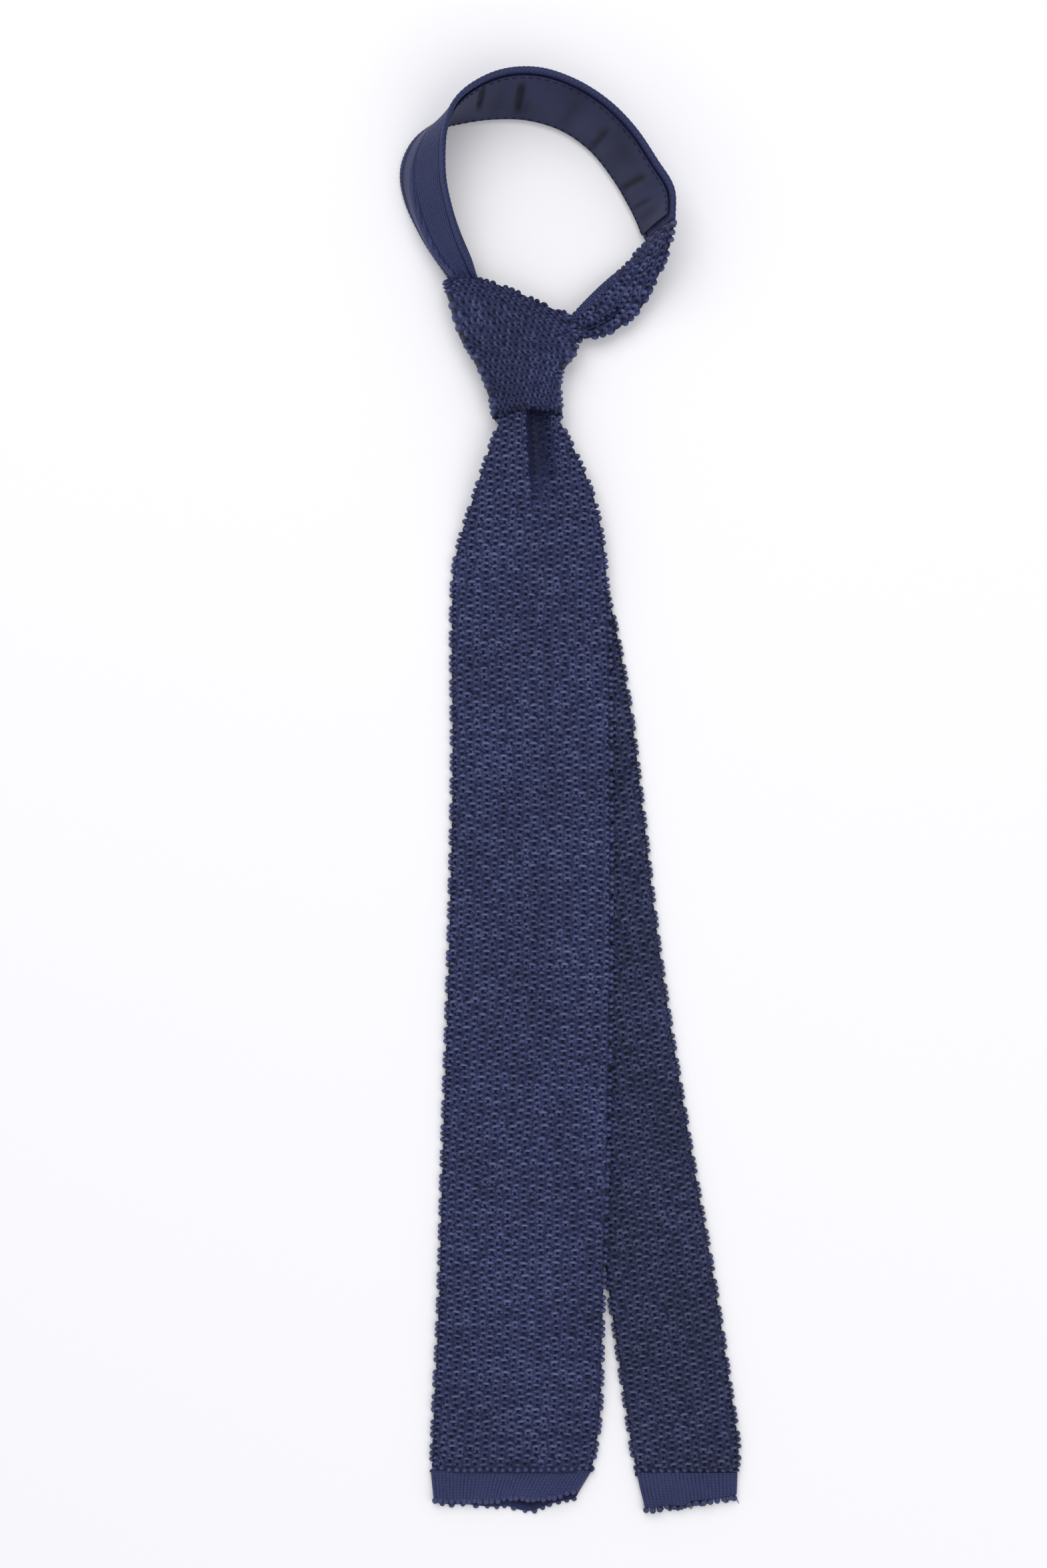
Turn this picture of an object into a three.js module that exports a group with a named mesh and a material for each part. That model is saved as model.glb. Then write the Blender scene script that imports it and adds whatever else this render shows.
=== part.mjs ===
// A knitted silk necktie, tied in a four-in-hand knot and laid flat on a table.
// Millimetres. X runs across the tie, Y from the blade tips towards the neck
// loop, and Z up from the table.
import * as THREE from 'three';

// Fabric thicknesses
const KNIT = 3.0; // a blade: a knitted tube pressed flat
const WRAP = 2.4; // the same tube pulled tight round the knot
const INNER = 2.2; // and tighter still inside the knot
const JERSEY = 1.4; // the fine knit of the neckband
const SATIN = 0.5; // the neckband's lining
const THREAD = 0.4; // the lining's running stitch
const HEM_LAYER = 0.9; // one layer of a hem's tube
const FOLD_RADIUS = 1.1; // at the middle of that layer, where the tube folds
const GAP = 0.3; // left between pieces that touch

// Heights of the layers inside the knot, at the middle of each
const BACK_WRAP_Z = WRAP / 2;
const TAIL_THROAT_Z = 3.8;
const FIRST_CROSS_Z = 6.3;
const BLADE_THROAT_Z = 9.0;
const FRONT_WRAP_Z = 11.8;
const FRONT_WRAP_CROWN = 1.6;
const TOP_EDGE_BOW = 4.5; // how far the knot's top edge bows up from straight
const WALL_FOOT_Z = 3.9; // where the front wrap's side walls end

// The knot's mouth, where the front blade leaves it
const MOUTH_Y = 148.0;
const MOUTH_BLADE_Z = 7.0;

// How the front blade lies: a little bowed off the table, and over the tail
const BLADE_BOW = 1.5;
const BLADE_BOW_REACH = 12;
const TAIL_CLEARANCE = 3.4;
const TAIL_RAMP = 14;
const TAIL_SLOPE = 0.1453; // sideways run of the tail for each mm down
const TAIL_LEFT_AT_ZERO = -14.0; // the tail's left edge where y = 0
const BLADE_DOWN_Y = 95; // the blade has come down to the table by here

// The lining lies inside the rims of the neckband; shares of its width
const LINING_FROM = 0.09;
const LINING_TO = 0.985;
const STITCH_WIDTH = 0.025;

// The loop for the tail on the back of the front blade
const KEEPER = { x: -17, y: -101.5, z: 0.85, width: 26, height: 13, thick: 0.7 };
const TACK_WIDTH = 1.2;

// Outlines, top to bottom: [y, left x, right x]
const FRONT_BLADE = [
  [MOUTH_Y - GAP, -28.6, -4.0],
  [137.5, -32.2, 1.0],
  [127.0, -35.8, 5.9],
  [116.0, -39.4, 9.8],
  [104.5, -43.4, 12.3],
  [91.0, -46.5, 14.0],
  [75.0, -47.4, 15.0],
  [10.0, -47.2, 16.0],
  [-60.0, -48.6, 16.0],
  [-131.0, -50.8, 14.9],
  [-201.0, -52.7, 12.9],
  [-245.0, -54.7, 11.6],
  [-263.5, -55.3, 8.6],
];
const TAIL_BLADE = [
  [108.0, -22.6, 3.4],
  [92.0, -24.0, 11.2],
  [75.0, -24.6, 16.3],
  [38.0, -19.5, 23.4],
  [-5.0, -13.3, 28.8],
  [-61.0, -5.2, 35.4],
  [-133.0, 5.3, 46.8],
  [-185.0, 12.9, 56.0],
  [-233.0, 19.9, 63.3],
  [-256.0, 23.3, 66.3],
  [-264.7, 25.1, 65.3],
];
const FRONT_HEM = { top: [-263.8, -55.2, 8.5], bottom: [-276.3, -54.0, 3.8], z: 1.7 };
const FRONT_EDGE = { top: [-276.6, -53.6, 3.4], bottom: [-280.0, -51.0, 1.2], z: 1.7 };
const TAIL_HEM = { top: [-265.0, 25.3, 65.3], bottom: [-276.6, 28.0, 65.6], z: 1.6 };
const TAIL_EDGE = { top: [-276.9, 28.3, 65.4], bottom: [-280.4, 30.0, 64.0], z: 1.6 };

// The knot's outline: its top edge falls to the right, then its two sides
const KNOT_LEFT = [
  [-49.6, 201.5],
  [-47.8, 195.7],
  [-42.9, 179.5],
  [-37.6, 170.5],
  [-32.2, 158.5],
  [-30.2, MOUTH_Y],
];
const KNOT_RIGHT = [
  [-1.0, 188.4],
  [1.6, 182.6],
  [3.6, 176.2],
  [-2.6, 166.8],
  [-3.6, 158.5],
  [-2.8, MOUTH_Y],
];

// The two edges of the neckband, from the knot up the left leg, over the
// twist and round the arch: the rim that stands up, and the rim on the table
const UPPER_RIM = [
  [-36.6, 203.6, 8.5],
  [-38.7, 208.6, 12],
  [-42.7, 217.3, 18],
  [-46.0, 227.2, 22],
  [-48.5, 237.6, 24],
  [-49.2, 247.5, 25.5],
  [-48.6, 257.0, 28],
  [-45.5, 266.5, 29],
  [-39.4, 273.4, 28],
  [-27.2, 279.6, 27],
  [-13.0, 280.6, 26.5],
  [1.0, 276.3, 26],
  [13.9, 268.2, 26],
  [24.0, 258.0, 26],
  [32.5, 245.5, 26],
  [39.0, 234.5, 26],
  [39.4, 222.5, 25],
];
const LOWER_RIM = [
  [-47.4, 203.6, 4.0],
  [-52.2, 211.8, 1.6],
  [-58.3, 222.1, 0.9],
  [-64.0, 233.9, 0.9],
  [-66.2, 243.4, 0.9],
  [-65.4, 250.5, 0.9],
  [-61.0, 258.4, 0.9],
  [-53.0, 264.0, 0.9],
  [-44.6, 265.8, 0.9],
  [-31.5, 267.3, 0.9],
  [-17.0, 266.8, 0.9],
  [-2.5, 262.2, 0.9],
  [9.0, 253.8, 0.9],
  [16.9, 243.9, 0.9],
  [22.6, 234.5, 0.9],
  [26.6, 226.5, 0.9],
  [29.8, 218.9, 1.2],
];
const LEG_START = 0.03; // share of the rims that the knot hides
const TWIST = 7 / 16; // share of the rims up to the twist, where the left leg ends

// The folded leg from the neckband's end down to the knot
const LEG_INNER = [
  [28.9, 216.6, 2.2],
  [25.2, 213.0, 3.4],
  [21.0, 207.8, 4.6],
  [15.5, 203.3, 6.0],
  [10.5, 199.2, 7.0],
  [5.8, 194.6, 8.0],
  [2.8, 191.6, 8.5],
  [0.4, 189.4, 8.8],
];
const LEG_OUTER = [
  [39.2, 220.4, 24.0],
  [38.4, 214.5, 21.0],
  [36.4, 207.5, 15.5],
  [32.5, 200.0, 10.0],
  [27.0, 190.5, 6.5],
  [20.0, 184.2, 5.6],
  [11.5, 180.2, 5.6],
  [5.6, 178.6, 6.0],
];
const LEG_BULGE = 3.0;
const LEFT_LEG_RIDGE = 4.0;

// Paths inside the knot
const TAIL_THROAT_LEFT = [
  [-47.4, 204.9, 4.0],
  [-43.8, 197.0, TAIL_THROAT_Z],
  [-40.0, 187.0, TAIL_THROAT_Z],
  [-33.2, 172.0, TAIL_THROAT_Z],
  [-26.5, 158.0, TAIL_THROAT_Z],
  [-25.0, 146.0, TAIL_THROAT_Z],
  [-23.8, 130.0, 2.8],
  [-22.8, 108.3, 1.5],
];
const TAIL_THROAT_RIGHT = [
  [-38.0, 204.3, 6.6],
  [-33.5, 197.0, TAIL_THROAT_Z],
  [-27.0, 187.0, TAIL_THROAT_Z],
  [-17.5, 172.0, TAIL_THROAT_Z],
  [-8.8, 158.0, TAIL_THROAT_Z],
  [-6.4, 146.0, TAIL_THROAT_Z],
  [-2.4, 130.0, 2.8],
  [3.0, 108.3, 1.5],
];
const FIRST_CROSS_TOP = [
  [-0.6, 188.6, 7.9],
  [-10.0, 187.4, 6.4],
  [-24.0, 187.4, FIRST_CROSS_Z],
  [-38.5, 186.0, FIRST_CROSS_Z],
];
const FIRST_CROSS_BOTTOM = [
  [4.2, 178.2, 6.2],
  [-8.0, 172.0, FIRST_CROSS_Z],
  [-22.0, 170.0, FIRST_CROSS_Z],
  [-34.0, 172.5, FIRST_CROSS_Z],
];
const BLADE_THROAT_LEFT = [
  [-27.5, 187.5, BLADE_THROAT_Z],
  [-27.5, 172.0, BLADE_THROAT_Z],
  [-26.2, 158.0, BLADE_THROAT_Z],
  [-26.2, MOUTH_Y, BLADE_THROAT_Z],
];
const BLADE_THROAT_RIGHT = [
  [-9.0, 179.8, BLADE_THROAT_Z],
  [-8.2, 172.0, BLADE_THROAT_Z],
  [-7.2, 158.0, BLADE_THROAT_Z],
  [-6.8, MOUTH_Y, BLADE_THROAT_Z],
];
// The turn over the knot's top: [distance from the top edge, z], front to back
const OVER_TURN = [
  [-11.9, BLADE_THROAT_Z],
  [-5.0, BLADE_THROAT_Z],
  [-2.5, 8.2],
  [-1.8, 6.4],
  [-2.5, 4.7],
  [-4.8, 3.9],
  [-7.8, 3.9],
];
const OVER_TURN_X = [-27.5, -9.0];

const finish = (color, roughness) =>
  new THREE.MeshStandardMaterial({ color, roughness, metalness: 0 });
const CRUNCH_KNIT = finish(0x23285a, 0.75);
const FINE_KNIT = finish(0x252c63, 0.7);
const LINING = finish(0x1d2140, 0.4);
const STITCHING = finish(0x15182f, 0.6);

const { clamp, lerp, smoothstep } = THREE.MathUtils;
const point = ([x, y, z = 0]) => new THREE.Vector3(x, y, z);
const curve = (points) => new THREE.CatmullRomCurve3(points.map(point), false, 'centripetal');
const steps = (count, from = 0, to = 1) =>
  Array.from({ length: count + 1 }, (_, i) => lerp(from, to, i / count));

// Unit normal of a grid of points, from its neighbours along and across
function normalAt(grid, i, j, closed) {
  const last = grid.length - 1;
  const before = closed ? (i + last) % grid.length : Math.max(i - 1, 0);
  const after = closed ? (i + 1) % grid.length : Math.min(i + 1, last);
  const row = grid[i];
  const along = grid[after][j].clone().sub(grid[before][j]);
  const across = row[Math.min(j + 1, row.length - 1)].clone().sub(row[Math.max(j - 1, 0)]);
  return along.cross(across).normalize();
}

// A sheet of fabric as a closed solid: its middle surface is a grid of points,
// thickened by half its thickness each way. A closed sheet is a tube.
function sheet(grid, thickness, { closed = false, normal = null, offset = 0 } = {}) {
  const rows = grid.length;
  const cols = grid[0].length;
  const points = [];
  for (const side of [1, -1]) {
    grid.forEach((row, i) =>
      row.forEach((p, j) => {
        const n = normal ?? normalAt(grid, i, j, closed);
        points.push(p.clone().addScaledVector(n, offset + (side * thickness(j / (cols - 1))) / 2));
      }),
    );
  }
  const upper = (i, j) => (i % rows) * cols + j;
  const lower = (i, j) => rows * cols + upper(i, j);
  const triangles = [];
  const quad = (a, b, c, d) => triangles.push(a, b, c, a, c, d);
  const spans = closed ? rows : rows - 1;
  for (let i = 0; i < spans; i += 1) {
    for (let j = 0; j < cols - 1; j += 1) {
      quad(upper(i, j), upper(i + 1, j), upper(i + 1, j + 1), upper(i, j + 1));
      quad(lower(i, j), lower(i, j + 1), lower(i + 1, j + 1), lower(i + 1, j));
    }
    quad(upper(i, 0), lower(i, 0), lower(i + 1, 0), upper(i + 1, 0));
    quad(upper(i, cols - 1), upper(i + 1, cols - 1), lower(i + 1, cols - 1), lower(i, cols - 1));
  }
  if (!closed) {
    for (let j = 0; j < cols - 1; j += 1) {
      quad(upper(0, j), upper(0, j + 1), lower(0, j + 1), lower(0, j));
      quad(upper(rows - 1, j), lower(rows - 1, j), lower(rows - 1, j + 1), upper(rows - 1, j + 1));
    }
  }
  const geometry = new THREE.BufferGeometry().setFromPoints(points);
  geometry.setIndex(triangles);
  geometry.computeVertexNormals();
  return geometry;
}

// Fabric thins towards its two edges
const rounded = (thick) => (v) => thick * (0.5 + 0.5 * (1 - Math.abs(2 * v - 1) ** 5));
const even = (thick) => () => thick;

// The middle surface of a strip between two edges, over part of its length and
// width, raised by a bulge along its own normal
function strip(edgeA, edgeB, along, across, { width = [0, 1], bulge = null } = {}) {
  const a = curve(edgeA);
  const b = curve(edgeB);
  const grid = along.map((t) => {
    const pa = a.getPoint(t);
    const pb = b.getPoint(t);
    return steps(across, ...width).map((s) => pa.clone().lerp(pb, s));
  });
  if (!bulge) return grid;
  return grid.map((row, i) =>
    row.map((p, j) =>
      p.clone().addScaledVector(normalAt(grid, i, j, false), bulge(along[i], j / across)),
    ),
  );
}

// A blade's middle surface from its outline, with its height from a function
function bladeGrid(outline, along, across, height) {
  const left = curve(outline.map(([y, x]) => [x, y]));
  const right = curve(outline.map(([y, , x]) => [x, y]));
  return steps(along).map((t) => {
    const l = left.getPoint(t);
    const r = right.getPoint(t);
    return steps(across).map((s) => {
      const p = l.clone().lerp(r, s);
      return p.setZ(height(p.x, p.y, l.x, r.x));
    });
  });
}

// Height of the front blade's middle surface
function frontBladeHeight(x, y, left, right) {
  const bow = BLADE_BOW * smoothstep(Math.min(x - left, right - x), 0, BLADE_BOW_REACH);
  const tailLeft = TAIL_LEFT_AT_ZERO - TAIL_SLOPE * y;
  const overTail = TAIL_CLEARANCE * smoothstep(x, tailLeft - TAIL_RAMP, tailLeft);
  const lying = Math.max(bow, overTail);
  return KNIT / 2 + lerp(lying, MOUTH_BLADE_Z, smoothstep(y, BLADE_DOWN_Y, MOUTH_Y));
}

// A flattened tube open at both ends, such as a hem. Round it, a turn runs
// along the upper layer, round the right fold and back along the lower layer.
function flatTube({ top, bottom, z }) {
  const turn = [];
  for (const layer of [0, 1]) {
    const start = Math.PI * (0.5 + layer);
    for (const s of steps(10).slice(1)) turn.push({ across: Math.abs(layer - s), angle: start });
    for (const a of steps(6).slice(1)) turn.push({ across: 1 - layer, angle: start - Math.PI * a });
  }
  return turn.map(({ across, angle }) =>
    [top, bottom].map(([y, left, right]) => {
      const x = lerp(left + FOLD_RADIUS, right - FOLD_RADIUS, across);
      return point([x + FOLD_RADIUS * Math.cos(angle), y, z + FOLD_RADIUS * Math.sin(angle)]);
    }),
  );
}

// One row of the front wrap: down its left side, over its crown and down the
// right side, which ends high where the folded leg comes out from under it
function wrapRow(left, right, rightFoot) {
  const inset = WRAP / 2;
  const corner = 2.4;
  const side = (edge, inward, foot) =>
    steps(4, 0, Math.PI / 2).map((angle) => {
      const x = edge.x + inward * (inset + corner * (1 - Math.sqrt(Math.sin(angle))));
      const fall = (FRONT_WRAP_Z - foot) * (1 - Math.sqrt(Math.max(Math.cos(angle), 0)));
      return point([x, edge.y, FRONT_WRAP_Z - fall]);
    });
  const leftSide = side(left, 1, WALL_FOOT_Z).reverse();
  const rightSide = side(right, -1, rightFoot);
  const start = leftSide.at(-1);
  const end = rightSide[0];
  const crown = steps(6)
    .slice(1, -1)
    .map((s) => {
      const p = start.clone().lerp(end, s);
      return p.setZ(p.z + FRONT_WRAP_CROWN * Math.sin(Math.PI * s) ** 2);
    });
  return [...leftSide, ...crown, ...rightSide];
}

function frontWrapGrid() {
  const left = curve(KNOT_LEFT);
  const right = curve(KNOT_RIGHT);
  return steps(12).map((t) => {
    const r = right.getPoint(t);
    const l = left.getPoint(t);
    const legGone = smoothstep(176 - r.y, 0, 8);
    const row = wrapRow(l, r, lerp(FRONT_WRAP_Z - 0.2, WALL_FOOT_Z, legGone));
    return row.map((p) => p.setY(p.y + (1 - t) ** 2 * topBow((p.x - l.x) / (r.x - l.x))));
  });
}

// The knot's top edge slopes from its left corner to its right one, bowed up
const topBow = (share) => TOP_EDGE_BOW * Math.sin(Math.PI * clamp(share, 0, 1) ** 0.65);
function topEdgeY(x) {
  const [leftX, leftY] = KNOT_LEFT[0];
  const [rightX, rightY] = KNOT_RIGHT[0];
  const share = (x - leftX) / (rightX - leftX);
  return lerp(leftY, rightY, share) + topBow(share);
}

function overTurnGrid() {
  return OVER_TURN.map(([inset, z]) =>
    steps(4, ...OVER_TURN_X).map((x) => point([x, topEdgeY(x) + inset, z])),
  );
}

const tie = new THREE.Group();
function add(name, geometry, material) {
  const mesh = new THREE.Mesh(geometry, material);
  mesh.name = name;
  tie.add(mesh);
  return mesh;
}
const UP = new THREE.Vector3(0, 0, 1);

function addKnot() {
  const inset = (points, by) => points.map(([x, y]) => [x + by, y - Math.abs(by) / 2, BACK_WRAP_Z]);
  const back = strip(inset(KNOT_LEFT, 0.8), inset(KNOT_RIGHT, -0.8), steps(10), 6);
  add('knot_back_wrap', sheet(back, even(WRAP), { normal: UP }), CRUNCH_KNIT);
  add('knot_front_wrap', sheet(frontWrapGrid(), even(WRAP)), CRUNCH_KNIT);
  const cross = strip(FIRST_CROSS_TOP, FIRST_CROSS_BOTTOM, steps(8), 4);
  add('knot_first_cross', sheet(cross, even(INNER), { normal: UP }), CRUNCH_KNIT);
  add('knot_over_turn', sheet(overTurnGrid(), even(INNER)), CRUNCH_KNIT);
  const throat = strip(BLADE_THROAT_LEFT, BLADE_THROAT_RIGHT, steps(6), 4);
  add('blade_throat', sheet(throat, rounded(INNER), { normal: UP }), CRUNCH_KNIT);
}

function addNeckLoop() {
  const loop = (name, from, to, along, thick, offset, material, width = [0, 1]) => {
    const ridge = (t, s) => LEFT_LEG_RIDGE * smoothstep(TWIST - t, 0, TWIST) * Math.sin(Math.PI * s);
    const bulge = to <= TWIST ? ridge : null;
    const grid = strip(UPPER_RIM, LOWER_RIM, steps(along, from, to), 6, { width, bulge });
    add(name, sheet(grid, even(thick), { offset }), material);
  };
  const liningOffset = -(GAP + SATIN / 2);
  const stitchOffset = -(2 * GAP + SATIN + THREAD / 2);
  const split = 0.002;
  loop('neckband_left_leg', LEG_START, TWIST - split, 18, JERSEY, JERSEY / 2, FINE_KNIT);
  loop('neckband_arch', TWIST + split, 1, 30, JERSEY, JERSEY / 2, FINE_KNIT);
  const lined = [LINING_FROM, LINING_TO];
  loop('left_leg_lining', 2 * LEG_START, TWIST - split, 17, SATIN, liningOffset, LINING, lined);
  loop('neckband_lining', TWIST + split, 0.985, 30, SATIN, liningOffset, LINING, lined);
  for (const [name, at] of [
    ['lining_stitch_upper', LINING_FROM + STITCH_WIDTH],
    ['lining_stitch_lower', LINING_TO - 2 * STITCH_WIDTH],
  ]) {
    const width = [at, at + STITCH_WIDTH];
    loop(name, TWIST + 0.01, 0.98, 30, THREAD, stitchOffset, STITCHING, width);
  }
}

function addRightLeg() {
  const seamUpper = [UPPER_RIM.at(-1), LEG_OUTER[0]];
  const seamLower = [LOWER_RIM.at(-1), LEG_INNER[0]];
  const seam = strip(seamUpper, seamLower, steps(2, 0.17, 0.83), 6);
  add('neckband_seam', sheet(seam, even(KNIT)), FINE_KNIT);
  const bulge = (t, s) => LEG_BULGE * smoothstep(t, 0, 0.6) * Math.sin(Math.PI * s);
  const leg = strip(LEG_INNER, LEG_OUTER, steps(16), 6, { bulge });
  add('right_leg', sheet(leg, rounded(KNIT)), CRUNCH_KNIT);
}

function addTail() {
  const throat = strip(TAIL_THROAT_LEFT, TAIL_THROAT_RIGHT, steps(18), 4);
  add('tail_throat', sheet(throat, even(INNER), { normal: UP }), FINE_KNIT);
  const blade = bladeGrid(TAIL_BLADE, 32, 6, () => KNIT / 2);
  add('tail_blade', sheet(blade, even(KNIT), { normal: UP }), CRUNCH_KNIT);
  add('tail_hem', sheet(flatTube(TAIL_HEM), even(HEM_LAYER), { closed: true }), FINE_KNIT);
  add('tail_edge', sheet(flatTube(TAIL_EDGE), even(HEM_LAYER), { closed: true }), CRUNCH_KNIT);
}

function addFrontBlade() {
  const blade = bladeGrid(FRONT_BLADE, 44, 10, frontBladeHeight);
  add('front_blade', sheet(blade, even(KNIT), { normal: UP }), CRUNCH_KNIT);
  add('front_hem', sheet(flatTube(FRONT_HEM), even(HEM_LAYER), { closed: true }), FINE_KNIT);
  add('front_edge', sheet(flatTube(FRONT_EDGE), even(HEM_LAYER), { closed: true }), CRUNCH_KNIT);
  const { x, y, z, width, height, thick } = KEEPER;
  const keeper = new THREE.BoxGeometry(width, height, thick, 6, 3, 1);
  add('keeper_loop', keeper, FINE_KNIT).position.set(x, y, z);
  for (const [name, side] of [
    ['keeper_tack_left', -1],
    ['keeper_tack_right', 1],
  ]) {
    const tack = new THREE.BoxGeometry(TACK_WIDTH, height, thick);
    const reach = width / 2 + GAP + TACK_WIDTH / 2;
    add(name, tack, STITCHING).position.set(x + side * reach, y, z);
  }
}

addKnot();
addNeckLoop();
addRightLeg();
addTail();
addFrontBlade();

export default tie;
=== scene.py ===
"""A knitted silk necktie lying flat in a four-in-hand knot: the fabric, hems, lining
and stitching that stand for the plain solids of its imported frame. Shapes are worked
out in millimetres and turned to metres when a mesh is made."""
from math import cos, pi, sin, sqrt

import bpy
import numpy as np
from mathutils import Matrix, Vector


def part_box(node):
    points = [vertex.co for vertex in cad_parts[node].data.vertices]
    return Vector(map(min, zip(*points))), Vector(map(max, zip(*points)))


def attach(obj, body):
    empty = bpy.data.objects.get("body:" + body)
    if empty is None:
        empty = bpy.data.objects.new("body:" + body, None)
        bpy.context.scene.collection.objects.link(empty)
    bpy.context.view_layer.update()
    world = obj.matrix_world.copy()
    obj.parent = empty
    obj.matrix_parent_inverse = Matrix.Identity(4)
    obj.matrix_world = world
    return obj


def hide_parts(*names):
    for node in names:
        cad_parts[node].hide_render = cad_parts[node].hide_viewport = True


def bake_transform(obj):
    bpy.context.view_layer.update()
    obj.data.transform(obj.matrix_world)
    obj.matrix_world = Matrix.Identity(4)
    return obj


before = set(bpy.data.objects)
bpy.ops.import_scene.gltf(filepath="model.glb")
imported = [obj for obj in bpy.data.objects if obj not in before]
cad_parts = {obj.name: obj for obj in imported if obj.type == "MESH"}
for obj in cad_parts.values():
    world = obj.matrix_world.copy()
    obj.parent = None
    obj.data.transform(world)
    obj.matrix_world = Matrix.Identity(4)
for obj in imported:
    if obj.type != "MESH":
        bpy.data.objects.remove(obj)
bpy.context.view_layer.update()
MM = 0.001

# -------- driving sizes
CAMERA_X, CAMERA_Y, CAMERA_HEIGHT = -18.7, 5.6, 1200.0
FRAME_HEIGHT = 615.4  # of the table, seen from end to end of the picture
SENSOR = 36.0

KNIT = 3.0  # thickness of a blade: a knitted tube pressed flat
WRAP = 2.4  # of the same knit, stretched round the knot,
INNER = 2.2  # and squeezed inside it
JERSEY = 1.4  # of the fine knit of the neckband
COURSE = 2.36  # height of one crunch row
LAST_WALE = 3.0  # from bump to bump in the last row, above a hem,
LAST_ROW = 2.3  # and the height of that row
RELIEF = 1.15  # from the crest of a crunch cell to its pit
LOWEST = 0.02  # nothing lies closer to the table
FOLD_POINTS = 6  # round each half of a folded edge
BLADE_RINGS = 1480  # rings of points along a blade,
BLADE_STEP = 0.29  # and the step from point to point across it

MOUTH_Y = 148.0  # the knot's lower edge, where both blades come out
TAIL_SLOPE = 0.1453  # how far the tail moves right for each millimetre down

# A blade's outline, from the knot to its hem: [y, x of its left edge, x of its right]
FRONT_BLADE = [
    [160.0, -26.0, -8.0], [147.7, -28.6, -4.0], [137.5, -32.2, 1.0], [127.0, -35.8, 5.9],
    [116.0, -39.4, 9.8], [104.5, -43.4, 12.3], [91.0, -46.5, 14.0], [75.0, -47.4, 15.0],
    [10.0, -47.2, 16.0], [-60.0, -48.6, 16.0], [-131.0, -50.8, 14.9], [-201.0, -52.7, 12.9],
    [-245.0, -54.7, 11.6], [-263.6, -55.3, 8.6],
]
TAIL_BLADE = [
    [178.0, -34.8, -20.4], [158.0, -26.5, -9.6], [146.0, -25.0, -6.4], [130.0, -23.9, -3.4],
    [108.0, -22.6, 3.4], [92.0, -24.0, 11.2], [75.0, -24.6, 16.3], [38.0, -19.5, 23.4],
    [-5.0, -13.3, 28.8], [-61.0, -5.2, 35.4], [-133.0, 5.3, 46.8], [-185.0, 12.9, 56.0],
    [-233.0, 19.9, 63.3], [-256.0, 23.3, 66.3], [-264.7, 25.1, 65.3],
]

# Along a hem's mouth, from left to right: [x, y of the upper layer, y of the lower]
FRONT_MOUTH = [
    [-54.2, -274.4, -274.8], [-49.8, -274.9, -276.4], [-40.1, -274.8, -276.8],
    [-31.5, -274.6, -277.6], [-25.0, -273.8, -277.4], [-21.0, -273.6, -278.6],
    [-17.1, -273.8, -279.3], [-13.2, -273.8, -278.5], [-9.3, -273.2, -277.0],
    [-4.0, -272.0, -275.5], [2.6, -270.2, -274.4],
]
TAIL_MOUTH = [
    [28.4, -277.3, -277.8], [33.0, -277.6, -278.2], [37.0, -276.5, -277.4],
    [44.0, -276.6, -277.2], [46.5, -275.2, -276.0], [52.0, -274.4, -275.2],
    [59.0, -273.6, -274.4], [65.0, -272.4, -273.2],
]

# The knot's sides, from its top edge to its mouth: [x, y]
KNOT_LEFT = [
    [-50.6, 201.5], [-48.9, 195.7], [-43.8, 179.5], [-38.4, 170.5], [-33.2, 158.5],
    [-31.2, MOUTH_Y],
]
KNOT_RIGHT = [
    [-1.0, 188.4], [1.6, 182.6], [3.6, 176.2], [-2.6, 166.8], [-3.6, 158.5], [-2.8, MOUTH_Y],
]
TOP_EDGE_BOW = 4.5  # of the middle of the knot's top edge over its corners

# The band's rims, from the knot round the loop to the right leg: [x, y, z]
UPPER_RIM = [
    [-33.6, 197.0, 6.6], [-36.6, 203.6, 8.5], [-38.7, 208.6, 12.0], [-42.7, 217.3, 18.0],
    [-46.0, 227.2, 22.0], [-48.5, 237.6, 24.0], [-49.2, 247.5, 25.5], [-48.6, 257.0, 28.0],
    [-45.5, 266.5, 29.0], [-39.4, 273.4, 28.0], [-27.2, 279.6, 27.0], [-13.0, 280.6, 26.5],
    [1.0, 276.3, 26.0], [13.9, 268.2, 26.0], [24.0, 258.0, 26.0], [32.5, 245.5, 26.0],
    [39.0, 234.5, 26.0], [39.4, 222.5, 25.0],
]
LOWER_RIM = [
    [-44.2, 197.4, 4.2], [-47.4, 203.6, 4.0], [-52.2, 211.8, 1.6], [-58.3, 222.1, 0.9],
    [-64.0, 233.9, 0.9], [-66.2, 243.4, 0.9], [-65.4, 250.5, 0.9], [-61.0, 258.4, 0.9],
    [-53.0, 264.0, 0.9], [-44.6, 265.8, 0.9], [-31.5, 267.3, 0.9], [-17.0, 266.8, 0.9],
    [-2.5, 262.2, 0.9], [9.0, 253.8, 0.9], [16.9, 243.9, 0.9], [22.6, 234.5, 0.9],
    [26.6, 226.5, 0.9], [29.8, 218.9, 1.2],
]
TWIST = 8 / 17  # the share of the rims at which the band turns over

# The right leg's folds, from the band down to the knot: [x, y, z]
LEG_INNER = [
    [28.9, 216.6, 2.2], [25.2, 213.0, 3.4], [21.0, 207.8, 4.6], [15.5, 203.3, 6.0],
    [10.5, 199.2, 7.0], [5.8, 194.6, 8.0], [2.8, 191.6, 8.5], [0.4, 189.4, 8.8],
]
LEG_OUTER = [
    [39.2, 220.4, 24.0], [38.4, 214.5, 21.0], [36.4, 207.5, 15.5], [32.5, 200.0, 10.0],
    [27.0, 190.5, 6.5], [20.0, 184.2, 5.6], [11.5, 180.2, 5.6], [5.6, 178.6, 6.0],
]


# -------- small helpers
WAVE_COUNT = 7  # sine waves in an uneven field


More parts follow.
